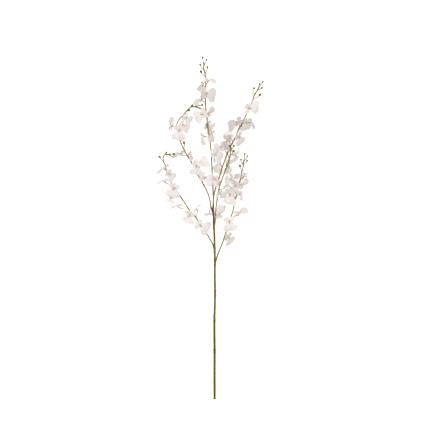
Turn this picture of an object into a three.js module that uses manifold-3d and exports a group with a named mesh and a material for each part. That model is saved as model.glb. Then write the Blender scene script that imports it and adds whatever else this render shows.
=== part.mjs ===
// A cut flowering stem of an oncidium orchid, lying on a flat surface.
//
// Millimetres, +Z up. The stem lies along +Y with its cut end towards -Y, and the surface is z = 0.
// One main stem carries six flowering branches. Each branch bears stalked white blooms and ends in
// a few closed buds on thin stalks. A bloom has a broad two-lobed lip, two petals, a top sepal and
// two side sepals behind the lip, all set on a small column.
//
// The plan below is written with its zero level with the cut end, a few millimetres to its left. The
// finished group is then moved so that its origin is the centre of its bounding box, on the surface.

import * as THREE from 'three';
import { mergeVertices } from 'three/addons/utils/BufferGeometryUtils.js';
import Module from 'manifold-3d';

const wasm = await Module();
wasm.setup();
const { Manifold } = wasm;

// ---------------------------------------------------------------- driving dimensions

const GAP = 0.3; // clearance between touching pieces

const STEM_LENGTH = 554;
const STEM_RADIUS_CUT = 3.5; // at the cut end
const STEM_RADIUS_TOP = 2.8; // where the top branch sits on it
const STEM_SIDES = 8;
const STEM_REST = 80; // this much of the cut end lies flat on the surface
const STEM_RISE = 35; // height gained from there to the top, where the blooms prop it up
const STEM_RISE_POWER = 1.4;
const STEM_STEP = 70; // longest stretch between its rings
const STEM_WAY = [[0, 4.6], [80, 4.4], [136, 4.6], [229, 4], [302, 5.8], [370, 5.2], [406, 5.4], [441, 4.6],
  [478, 4.1], [513, 2], [545, 0.6], [554, -1.2]]; // [along, across]
const JOINTS = [136, 229, 302, 392, 430, 498, 540]; // thickened joints along the stem
const JOINT_SWELL = 0.6;
const JOINT_HALF = 6;

const BRANCH_SIDES = 5;
const BRANCH_RADIUS_ROOT = 2;
const BRANCH_RADIUS_TIP = 1.6;
const BRANCH_TAPER_POWER = 2; // it thins mostly towards its tip

const STALK_RADIUS = 0.9; // a bloom's stalk
const STALK_RADIUS_END = 1.15;
const STALK_SIDES = 4;
const NEAREST_STALK = 22; // this much of a branch stays bare at its root
const STALK_BEND = 0.35; // how far a stalk keeps its first and last directions, over its reach
const STALK_SLANT = 1.1; // how far down the branch a stalk starts, over how far out it reaches
const BUD_STALK_RADIUS = 1.1;
const BUD_SIDES = 5;
const BUD_LEAN = 0.5; // how far buds turn towards their branch's direction
const BUD_SLANT = 1.8; // the same as STALK_SLANT, for a bud
const BUD_RINGS = [[0.22, 0.33], [0.6, 0.42]]; // [share of its length from the stalk, radius over length]

const COLUMN_BACK = 4; // the column's reach behind the petals, where the stalk meets it
const COLUMN_BACK_RADIUS = 1.5;
const COLUMN_FRONT = 4.5;

const BLADE_THICKNESS = 0.8;

const SAME_POINT = 1e-4; // corners nearer than this are one

// One bloom of size 1. Its blades grow from a ring round the column. A blade is drawn as rows of
// points from its root to its tip. A row is [distance from the centre, half width, lift of its
// middle, lift of its edges, number of points]; lift is towards the front. A blade's angle turns
// from the bloom's right, counter-clockwise.
const PETAL_ROWS = [[2.2, 0.8, 0.2, 0.2, 2], [10, 7.6, 1.2, 2.4, 3], [17, 5.2, 2.8, 3.2, 2]];
const TOP_SEPAL_ROWS = [[2.2, 0.8, -0.2, -0.2, 2], [8.5, 3.4, -1.2, -0.9, 3], [15, 2.6, -0.4, 0, 2]];
const SIDE_SEPAL_ROWS = [[2.2, 0.8, -0.5, -0.5, 2], [7.5, 3, -3, -3, 2], [13, 0, -5, -5, 1]];
const LIP_ROWS = [[2.3, 1.1, 0.6, 0.6, 2], [6.5, 9.5, 2.2, 1.8, 2], [13, 17.5, 2.6, 0.2, 3],
  [22, 20.5, 1.6, -2.2, 5], [31, 14.5, -1.6, -3.2, 5]];
const LIP_NOTCH = 2.4; // how far the lip's end is cut back between its two lobes
const PETAL_ANGLE = 32; // above the bloom's left and right
const SIDE_SEPAL_ANGLE = 40; // below them
const BLADES = [[LIP_ROWS, -90, LIP_NOTCH], [SIDE_SEPAL_ROWS, -SIDE_SEPAL_ANGLE], [PETAL_ROWS, PETAL_ANGLE],
  [TOP_SEPAL_ROWS, 90], [PETAL_ROWS, 180 - PETAL_ANGLE], [SIDE_SEPAL_ROWS, 180 + SIDE_SEPAL_ANGLE]];
const BLOOM_MIDDLE = (LIP_ROWS.at(-1)[0] - TOP_SEPAL_ROWS.at(-1)[0]) / 2; // below the column

// ---------------------------------------------------------------- the plan of the plant
//
// way: the branch's axis, [across, along, height]. It starts on the main stem's axis.
// blooms: [across, along, height, facing, facing lift, lip, size]. The place is halfway between the
// tips of the lip and the top sepal, and a bloom of height RESTS touches the surface. Facing is the
// direction in which the bloom looks, in degrees round from +X, and facing lift is how far it looks
// up. Lip is the direction in which its lip points, in the same degrees, laid into the bloom's plane.
// buds: [across, along, height, length], the middle of the bud and its length without the stalk.

const RESTS = null;

const BRANCHES = {
  top: {
    way: [[-0.5, 550, 37.5], [0.4, 565, 38.6], [0.9, 579, 39.5], [0, 610, 40], [-2, 650, 41],
      [-4, 690, 42], [-6, 726, 42.5], [-12, 772, 43], [-16, 799, 43.5], [-18, 823, 44],
      [-21, 847, 44], [-22, 871, 44.5], [-24, 892, 45], [-21, 914, 45.5], [-21, 931, 46],
      [-23, 945, 46.5], [-27, 964, 47.5], [-25, 979, 48.5]],
    blooms: [
      [-8, 925, 60, 85, 26, 0, 0.86],
      [-35, 910, 40, 140, 28, 230, 0.75],
      [-13.5, 886, 58, 20, 70, -10, 1.08],
      [-40, 868, 52.5, 120, 30, 218, 0.9],
      [-7, 835, 51.5, -45, 32, 62, 0.76],
      [-36, 825, 56, 180, 65, 205, 1.02],
      [-11, 793, 22, -30, -40, -35, 1.02],
      [-30, 758, 43, 180, 22, -85, 0.9],
      [-3, 765, 45, 0, 32, -90, 0.86],
      [10, 708, 50, 20, 55, -25, 0.98],
      [10, 635, 50, 20, 50, -60, 0.7],
    ],
    buds: [[-30, 992, 50, 7.3], [-19, 985, 51, 6.8], [-37, 971, 46, 7.3], [-16, 964, 50, 7.8],
      [-35, 951, 48, 9.3]],
  },
  upper_right: {
    way: [[0.8, 536, 36], [1.4, 560, 33], [1, 580, 32], [4.4, 603, 31], [11, 625, 30.5],
      [19, 648, 30], [22, 658, 30], [28, 678, 30], [37, 702, 29.5], [45, 724, 29], [48, 731, 29],
      [58, 748, 28], [67, 767, 27], [74, 784, 26.5], [83, 800, 26.5], [94, 823, 27], [104, 842, 27.5],
      [115, 869, 28.5], [120, 884, 29.5], [130, 900, 31], [136, 910, 32]],
    blooms: [
      [112, 847, 42, -60, 60, -2, 1.05],
      [64, 803, 36, 120, 45, 195, 1.06],
      [96, 799, 37, -40, 45, -75, 0.95],
      [113, 803, RESTS, 33, 20, -57, 0.83],
      [40.5, 745, 50, 200, 40, 235, 1.06],
      [46, 768, 34, 150, 50, 130, 0.9],
      [77, 758, 33, -20, 50, -50, 0.92],
      [19, 731, 36, 170, 50, 190, 0.95],
      [13, 679, 21, 190, -40, -110, 1.06],
    ],
    buds: [[144, 922, 34, 7.3], [135, 916, 37, 6.8], [142, 905, 32, 7.3], [119, 904, 33, 7.8],
      [136, 885, 33, 9.3], [85, 793, 33, 7.8]],
  },
  upper_left: {
    way: [[0.8, 536, 36], [-6, 562, 37], [-9.5, 582, 37.5], [-14.5, 598, 37.5], [-29, 627, 37],
      [-45, 654, 36.5], [-65, 693, 35.5], [-79, 717, 35], [-89, 736, 34.5], [-99, 762, 34],
      [-106, 797, 33.5], [-100, 811, 33.5], [-86, 827, 34], [-75, 840, 35], [-67, 847, 35.5],
      [-60, 850, 36], [-49, 849, 36.5], [-39, 849, 37.5]],
    blooms: [
      [-122, 801, RESTS, 180, 22, 88, 0.94],
      [-75, 815, 44, -20, 55, -35, 0.84],
      [-82, 794, 36, 30, 50, -20, 0.84],
      [-99, 775, 50, -90, 75, -100, 1.08],
      [-100, 714, 29, 100, 24, 195, 0.86],
      [-65, 710, 36, 20, 22, -75, 0.74],
      [-34, 688, 28, 110, 68, 20, 1.0],
      [-49, 672, 56, -60, 65, -95, 0.98],
      [-18, 642, 54, 60, 68, -20, 1.0],
      [-14, 539, 46, -80, 26, 175, 0.58],
    ],
    buds: [[-31, 855, 41, 7.3], [-37, 845, 40, 6.8], [-49, 852, 42, 7.3], [-60, 854, 39, 7.8],
      [-70, 840, 39, 9.3], [-84, 746, 40, 8.8]],
  },
  lower_left: {
    way: [[4.9, 428, 25.5], [-1, 452, 26.5], [-8.4, 466, 26.5], [-17, 480, 26.5], [-29, 499, 26.5],
      [-41, 516, 26.5], [-53, 534, 26.5], [-65, 547, 26.5], [-77, 564, 26.5], [-89, 582, 26.5],
      [-99, 597, 26.5], [-118, 624, 26], [-125, 642, 26], [-135, 663, 26], [-139, 682, 26.5],
      [-143, 691, 27], [-144, 706, 28.5], [-139, 712, 30], [-130, 712, 31], [-121, 709, 32]],
    blooms: [
      [-145, 670, 44.5, 120, 14, 212, 1.0],
      [-123, 652, 39, -20, 60, -40, 0.82],
      [-147, 634, 24, 100, 14, 195, 0.95],
      [-115, 608, 46, 250, 65, 255, 1.1],
      [-123, 583, 20, 230, 45, 245, 0.8],
      [-107, 562, 28, 100, 10, 192, 0.96],
      [-46, 557, 30, 147, 18, 57, 0.75],
      [-70, 530, 38, 230, 60, 250, 0.98],
      [-31, 503, 44, -40, 68, -30, 1.1],
    ],
    buds: [[-155, 705, 32, 9.3], [-135, 718, 34, 7.3], [-126, 712, 37, 7.3], [-114, 714, 34, 6.8],
      [-115, 704, 33, 6.8]],
  },
  lower_right: {
    way: [[5.3, 391, 22], [12, 416, 23], [17, 430, 23.5], [29, 460, 24.5], [36, 482, 25],
      [41, 496, 25.3], [50, 523, 25.8], [58, 550, 26.2], [65, 581, 26.8], [70, 605, 27.2],
      [72, 617, 27.5], [78, 635, 28], [82, 650, 28.5], [84, 662, 29], [87, 675, 29.5], [88, 689, 30.5],
      [92, 703, 31.5]],
    blooms: [
      [81, 650, 45, 90, 26, 185, 0.92],
      [89, 627, 30, -50, 30, 40, 0.84],
      [48, 637, 33, 170, 45, 190, 0.96],
      [64, 616, 38, 200, 60, -110, 0.9],
      [49, 589, 34, 200, 60, -100, 1.08],
      [82, 592, 25, 10, 26, -95, 0.64],
      [81, 546, 31.5, 115, 30, 28, 0.98],
      [48, 511, 41, -80, 70, -80, 1.1],
      [47, 467, 26, -30, 42, -45, 1.0],
    ],
    buds: [[92, 714, 34, 7.3], [100, 707, 31, 6.8], [81, 697, 32, 6.8], [99, 694, 33, 7.3],
      [78, 679, 32, 9.3]],
  },
  middle: {
    way: [[2.6, 498, 32], [6.4, 519, 35.5], [7.3, 539, 38.5], [10.4, 569, 42], [13, 590, 44.5],
      [16, 604, 46], [18, 615, 47], [24, 634, 49], [30, 651, 50.5], [34, 661, 51.5], [41, 678, 53],
      [48, 702, 55.5], [51, 722, 58], [52, 732, 62], [51, 737, 67]],
    blooms: [
      [64, 705, 59.5, -30, 35, -60, 0.86],
      [44, 676, 38, 0, -35, -95, 1.02],
      [39, 619, 49, 100, 20, 10, 0.58],
      [25, 597, 50, -60, 40, -40, 0.9],
      [21, 545, 52, -30, 40, 85, 1.0],
    ],
    buds: [[48, 735, 75, 7.8], [60, 736, 73, 7.8], [59, 721, 68, 8.8], [42, 716, 64, 6.8]],
  },
};

// ---------------------------------------------------------------- colours

const paint = (color, roughness) => new THREE.MeshStandardMaterial({ color, roughness, metalness: 0 });
const STEM_GREEN = paint(0x85763f, 0.6);
const BRANCH_GREEN = paint(0xa39458, 0.6);
const BLOOM_WHITE = paint(0xefe6e8, 0.75);

// ---------------------------------------------------------------- solids from rings and rows

// A closed triangle mesh from corner points and faces.
function geometryOf(corners, faces) {
  const geometry = new THREE.BufferGeometry();
  geometry.setAttribute('position', new THREE.Float32BufferAttribute(corners.flatMap((p) => p.toArray()), 3));
  geometry.setIndex(faces.flat());
  return geometry;
}

function solidOf(geometry) {
  const merged = mergeVertices(geometry, SAME_POINT);
  return new Manifold(new wasm.Mesh({
    numProp: 3,
    vertProperties: merged.attributes.position.array,
    triVerts: new Uint32Array(merged.index.array),
  }));
}

function geometryFrom(solid) {
  const mesh = solid.getMesh();
  const geometry = new THREE.BufferGeometry();
  geometry.setAttribute('position', new THREE.BufferAttribute(new Float32Array(mesh.vertProperties), 3));
  geometry.setIndex(new THREE.BufferAttribute(new Uint32Array(mesh.triVerts), 1));
  return geometry;
}

// A round tube through points, with a radius at each. Its section is carried along without twist,
// starting with a flat side down. Its last ring faces along facing, where that is given. A radius
// of 0 at the last point closes it to a tip.
function tube(points, radii, sides, facing) {
  const corners = [];
  const faces = [];
  const over = new THREE.Vector3(0, 0, 1);
  const tip = radii.at(-1) === 0;
  const rings = tip ? points.length - 1 : points.length;
  points.forEach((point, i) => {
    const ahead = facing && i === points.length - 1 ? facing
      : points[Math.min(i + 1, points.length - 1)].clone().sub(points[Math.max(i - 1, 0)]).normalize();
    over.addScaledVector(ahead, -over.dot(ahead)).normalize();
    if (i >= rings) return;
    const side = ahead.clone().cross(over);
    for (let k = 0; k < sides; k++) {
      const turn = ((k + 0.5) / sides) * 2 * Math.PI - Math.PI / 2;
      corners.push(point.clone()
        .addScaledVector(side, radii[i] * Math.cos(turn))
        .addScaledVector(over, radii[i] * Math.sin(turn)));
    }
  });
  for (let i = 0; i + 1 < rings; i++)
    for (let k = 0; k < sides; k++) {
      const [a, b] = [i * sides + k, i * sides + ((k + 1) % sides)];
      faces.push([a, b + sides, b], [a, a + sides, b + sides]);
    }
  const last = (rings - 1) * sides;
  if (tip) corners.push(points.at(-1).clone());
  for (let k = 1; k < sides - 1; k++) faces.push([0, k, k + 1]);
  for (let k = 0; k < sides; k++) {
    if (tip) faces.push([last + ((k + 1) % sides), last + k, rings * sides]);
    else if (k > 0 && k < sides - 1) faces.push([last, last + k + 1, last + k]);
  }
  return solidOf(geometryOf(corners, faces));
}

// ---------------------------------------------------------------- one bloom

// A blade's rows of points, pointing away from the centre at an angle in the bloom's plane.
function bladeRows([rows, degrees, notch = 0], size) {
  const angle = THREE.MathUtils.degToRad(degrees);
  const out = new THREE.Vector3(Math.cos(angle), Math.sin(angle), 0);
  const across = new THREE.Vector3(-Math.sin(angle), Math.cos(angle), 0);
  return rows.map(([reach, halfWidth, liftMiddle, liftEdge, count], r) =>
    Array.from({ length: count }, (_, k) => {
      const share = count === 1 ? 0 : (2 * k) / (count - 1) - 1;
      const cut = r === rows.length - 1 ? notch * (1 - Math.abs(share)) : 0;
      return new THREE.Vector3()
        .addScaledVector(out, (reach - cut) * size)
        .addScaledVector(across, share * halfWidth * size)
        .setZ((liftMiddle + (liftEdge - liftMiddle) * share * share) * size);
    }));
}

// Triangles between two rows of a blade, given each row's first point and number of points.
function strip([start, count], [nextStart, nextCount]) {
  const faces = [];
  for (let a = 0, b = 0; a < count - 1 || b < nextCount - 1;) {
    const stepNear = b === nextCount - 1
      || (a < count - 1 && (a + 0.5) * (nextCount - 1) <= (b + 0.5) * (count - 1));
    const [p, q] = [start + a, nextStart + b];
    faces.push([p, q, stepNear ? p + 1 : q + 1]);
    if (stepNear) a += 1;
    else b += 1;
  }
  return faces;
}

// The bloom is one sheet of even thickness: blades round a ring, a pointed column in front of the
// ring and a blunt one behind it. Front and back are split alike, and a rim joins them.
function bloomGeometry(size) {
  const middle = [];
  const bladeFaces = [];
  const rim = [];
  const ring = [];
  for (const shape of BLADES) {
    const rows = bladeRows(shape, size);
    const spans = rows.map((row) => [middle.push(...row) - row.length, row.length]);
    spans.slice(1).forEach((span, i) => bladeFaces.push(...strip(spans[i], span)));
    const [lastStart, lastCount] = spans.at(-1);
    rim.push(...spans.map(([start]) => start));
    for (let k = 1; k < lastCount; k++) rim.push(lastStart + k);
    rim.push(...spans.slice(0, -1).reverse().map(([start, count]) => start + count - 1));
    ring.push(spans[0][0], spans[0][0] + 1);
  }
  const n = middle.length;
  const around = (list, i) => list[i % list.length];
  const hub = ring.map((a, i) => [a, around(ring, i + 1), n]);
  const sheet = geometryOf([...middle, new THREE.Vector3()], [...bladeFaces, ...hub]);
  sheet.computeVertexNormals();
  const offset = (p, i, side) => p.clone().addScaledVector(
    new THREE.Vector3().fromBufferAttribute(sheet.attributes.normal, i), side * BLADE_THICKNESS / 2);

  const backEnd = BLADES.map(([, degrees]) => new THREE.Vector3(COLUMN_BACK_RADIUS * size, 0, 0)
    .applyAxisAngle(new THREE.Vector3(0, 0, 1), THREE.MathUtils.degToRad(degrees))
    .setZ(-COLUMN_BACK * size));
  const corners = [...middle.map((p, i) => offset(p, i, 1)), new THREE.Vector3(0, 0, COLUMN_FRONT * size),
    ...middle.map((p, i) => offset(p, i, -1)), ...backEnd];
  const back = (i) => i + n + 1;
  const end = BLADES.map((_, i) => 2 * n + 1 + i);
  const faces = [...bladeFaces, ...hub, ...bladeFaces.map(([a, b, c]) => [back(a), back(c), back(b)])];
  end.forEach((c, i) => {
    const [a, b, nextA] = [ring[2 * i], ring[2 * i + 1], around(ring, 2 * i + 2)].map(back);
    faces.push([b, a, c], [nextA, b, c], [around(end, i + 1), nextA, c]);
    if (i > 0 && i < end.length - 1) faces.push([end[0], end[i + 1], c]);
  });
  rim.forEach((a, i) => {
    const b = around(rim, i + 1);
    faces.push([a, back(a), back(b)], [a, back(b), b]);
  });
  return geometryOf(corners, faces);
}

// The bloom's own axes: front is where it looks, down is where its lip points.
function bloomAxes([, , , facing, lift, lip]) {
  const [f, l, d] = [facing, lift, lip].map(THREE.MathUtils.degToRad);
  const front = new THREE.Vector3(Math.cos(f) * Math.cos(l), Math.sin(f) * Math.cos(l), Math.sin(l));
  const down = new THREE.Vector3(Math.cos(d), Math.sin(d), 0);
  down.addScaledVector(front, -down.dot(front)).normalize();
  const up = down.clone().negate();
  return { front, up, right: up.clone().cross(front) };
}

// The middle of the bloom's column, and the turn from the bloom's axes to the plant's.
function bloomPlace(bloom) {
  const [x, y, z, , , , size] = bloom;
  const { right, up, front } = bloomAxes(bloom);
  const turn = new THREE.Quaternion().setFromRotationMatrix(new THREE.Matrix4().makeBasis(right, up, front));
  const centre = new THREE.Vector3(x, y, z ?? 0).addScaledVector(up, BLOOM_MIDDLE * size);
  if (z === RESTS) {
    const turned = bloomGeometry(size).applyQuaternion(turn);
    turned.computeBoundingBox();
    centre.z = -turned.boundingBox.min.z;
  }
  return { centre, turn, front };
}

// ---------------------------------------------------------------- main stem

const stemFlat = STEM_RADIUS_CUT * Math.cos(Math.PI / STEM_SIDES); // axis height over the flat side

// The main stem's axis at a distance along it.
function stemAxis(y) {
  const i = Math.max(1, STEM_WAY.findIndex(([along]) => along >= y));
  const [[fromY, fromX], [toY, toX]] = y > STEM_LENGTH ? STEM_WAY.slice(-2) : STEM_WAY.slice(i - 1, i + 1);
  const x = THREE.MathUtils.mapLinear(y, fromY, toY, fromX, toX);
  const climb = Math.max(0, y - STEM_REST) / (STEM_LENGTH - STEM_REST);
  return new THREE.Vector3(x, y, stemFlat + STEM_RISE * climb ** STEM_RISE_POWER);
}

function stemRadius(y) {
  const swell = Math.max(0, ...JOINTS.map((joint) => 1 - Math.abs(y - joint) / JOINT_HALF));
  const taper = Math.max(0, y - STEM_REST) / (STEM_LENGTH - STEM_REST);
  return THREE.MathUtils.lerp(STEM_RADIUS_CUT, STEM_RADIUS_TOP, taper) + JOINT_SWELL * swell;
}

// The main stem, made wider and longer by extra all round.
function mainStem(extra = 0) {
  const ends = [0, STEM_REST, ...JOINTS.flatMap((y) => [y - JOINT_HALF, y, y + JOINT_HALF]),
    STEM_LENGTH + extra];
  const stations = ends.slice(1).flatMap((to, i) => {
    const steps = Math.ceil((to - ends[i]) / STEM_STEP);
    return Array.from({ length: steps }, (_, k) => ends[i] + ((to - ends[i]) * k) / steps);
  });
  stations.push(ends.at(-1));
  return tube(stations.map(stemAxis), stations.map((y) => stemRadius(y) + extra), STEM_SIDES);
}

// ---------------------------------------------------------------- branches

// A bloom's stalk, which leaves root along one direction and comes into end along another.
function bloomStalk(root, end, leave, arrive) {
  const reach = root.distanceTo(end) * STALK_BEND;
  const curve = new THREE.CubicBezierCurve3(root, root.clone().addScaledVector(leave, reach),
    end.clone().addScaledVector(arrive, -reach), end);
  return tube(curve.getPoints(2), [STALK_RADIUS, STALK_RADIUS, STALK_RADIUS_END], STALK_SIDES, arrive);
}

// The place on a branch from which a stalk to a point grows: a little nearer to the branch's root
// than the point is, so that the stalk leaves at a slant.
function stalkRoot(path, point, slant) {
  const length = path.getLength();
  const away = (reach) => path.getPointAt(reach / length).distanceTo(point);
  let nearest = 0;
  for (let reach = 0; reach <= length; reach += 1)
    if (away(reach) < away(nearest)) nearest = reach;
  const start = Math.max(nearest - away(nearest) * slant, NEAREST_STALK) / length;
  return { root: path.getPointAt(start), along: path.getTangentAt(start) };
}

// A branch with its stalks and buds in one piece, cut back from the main stem's seat.
function branchSolid({ way, blooms, buds }, seat) {
  const points = way.map((p) => new THREE.Vector3(...p));
  const path = new THREE.CurvePath();
  points.slice(1).forEach((point, i) => path.add(new THREE.LineCurve3(points[i], point)));
  const reached = [0, ...path.getCurveLengths()];
  const radii = reached.map((reach) =>
    THREE.MathUtils.lerp(BRANCH_RADIUS_ROOT, BRANCH_RADIUS_TIP,
      (reach / path.getLength()) ** BRANCH_TAPER_POWER));
  const pieces = [tube(points, radii, BRANCH_SIDES)];
  for (const bloom of blooms) {
    const { centre, front } = bloomPlace(bloom);
    const end = centre.addScaledVector(front, -COLUMN_BACK * bloom[6] - GAP);
    const { root, along } = stalkRoot(path, end, STALK_SLANT);
    pieces.push(bloomStalk(root, end, along, front));
  }
  for (const [x, y, z, length] of buds) {
    const middle = new THREE.Vector3(x, y, z);
    const { root, along } = stalkRoot(path, middle, BUD_SLANT);
    const axis = middle.clone().sub(root).normalize().addScaledVector(along, BUD_LEAN).normalize();
    const neck = middle.clone().addScaledVector(axis, -length / 2);
    const inBud = (share) => neck.clone().addScaledVector(axis, length * share);
    pieces.push(tube([root, neck, ...BUD_RINGS.map(([share]) => inBud(share)), inBud(1)],
      [BUD_STALK_RADIUS, BUD_STALK_RADIUS, ...BUD_RINGS.map(([, fatness]) => length * fatness), 0],
      BUD_SIDES));
  }
  const [branch] = Manifold.union(pieces).subtract(seat).decompose().sort((a, b) => b.volume() - a.volume());
  return branch;
}

// ---------------------------------------------------------------- the plant

const plant = new THREE.Group();

function add(name, geometry, material) {
  const mesh = new THREE.Mesh(geometry, material);
  mesh.name = name;
  plant.add(mesh);
  return mesh;
}

add('main_stem', geometryFrom(mainStem()), STEM_GREEN);
const seat = mainStem(GAP);

for (const [name, branch] of Object.entries(BRANCHES)) {
  add(`branch_${name}`, geometryFrom(branchSolid(branch, seat)), BRANCH_GREEN);
  branch.blooms.forEach((bloom, i) => {
    const mesh = add(`bloom_${name}_${i + 1}`, bloomGeometry(bloom[6]), BLOOM_WHITE);
    const { centre, turn } = bloomPlace(bloom);
    mesh.position.copy(centre);
    mesh.quaternion.copy(turn);
  });
}

const box = new THREE.Box3().setFromObject(plant, true);
const centre = box.getCenter(new THREE.Vector3());
plant.position.set(-centre.x, -centre.y, 0);

export default plant;
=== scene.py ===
"""A cut oncidium stem: white blooms, stalks, buds and bracts on an olive stem, in a soft studio."""

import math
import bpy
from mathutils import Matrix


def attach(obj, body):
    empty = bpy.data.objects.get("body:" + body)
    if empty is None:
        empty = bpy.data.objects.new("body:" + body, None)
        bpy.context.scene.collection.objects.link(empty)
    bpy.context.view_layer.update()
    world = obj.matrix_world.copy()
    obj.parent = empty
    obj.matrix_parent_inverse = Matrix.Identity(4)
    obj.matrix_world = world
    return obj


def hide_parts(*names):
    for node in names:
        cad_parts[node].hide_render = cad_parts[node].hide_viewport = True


bl_info = {
    "name": "Oncidium stem",
    "version": (1, 0, 0),
    "blender": (4, 5, 0),
    "location": "View3D > Sidebar > Oncidium",
    "description": "Dresses a packed oncidium stem with its blooms, stems, buds and studio",
    "category": "Object",
}

import bpy
import numpy as np
from bpy.props import FloatProperty, FloatVectorProperty, IntProperty, PointerProperty

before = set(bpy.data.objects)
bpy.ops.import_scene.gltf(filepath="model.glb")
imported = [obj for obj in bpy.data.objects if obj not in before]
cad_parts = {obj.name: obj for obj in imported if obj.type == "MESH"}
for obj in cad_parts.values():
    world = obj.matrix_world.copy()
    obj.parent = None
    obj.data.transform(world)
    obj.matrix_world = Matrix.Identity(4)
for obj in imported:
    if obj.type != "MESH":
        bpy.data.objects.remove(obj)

MM = 0.001


# ---- the plan of the plant
#
# Millimetres: x across, y along, z up from the surface. Zero is level with the cut end, and lies
# to the left of the end's centre by STEM_WAY's first across.
# way: a branch's axis, from the main stem's axis outwards.
# blooms: (x, y, z, facing, facing lift, lip, size). The place is halfway between the tips of the
# lip and the top sepal, and a bloom of height RESTS touches the surface. Facing is the direction
# in which the bloom looks, in degrees round from +X, and facing lift is how far it looks up. Lip
# is where its lip points, in the same degrees, laid into the bloom's plane.
# buds: (x, y, z, length), the middle of the bud and its length without the stalk.
# green: how yellow-green the branch is, against golden brown.

RESTS = None

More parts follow.
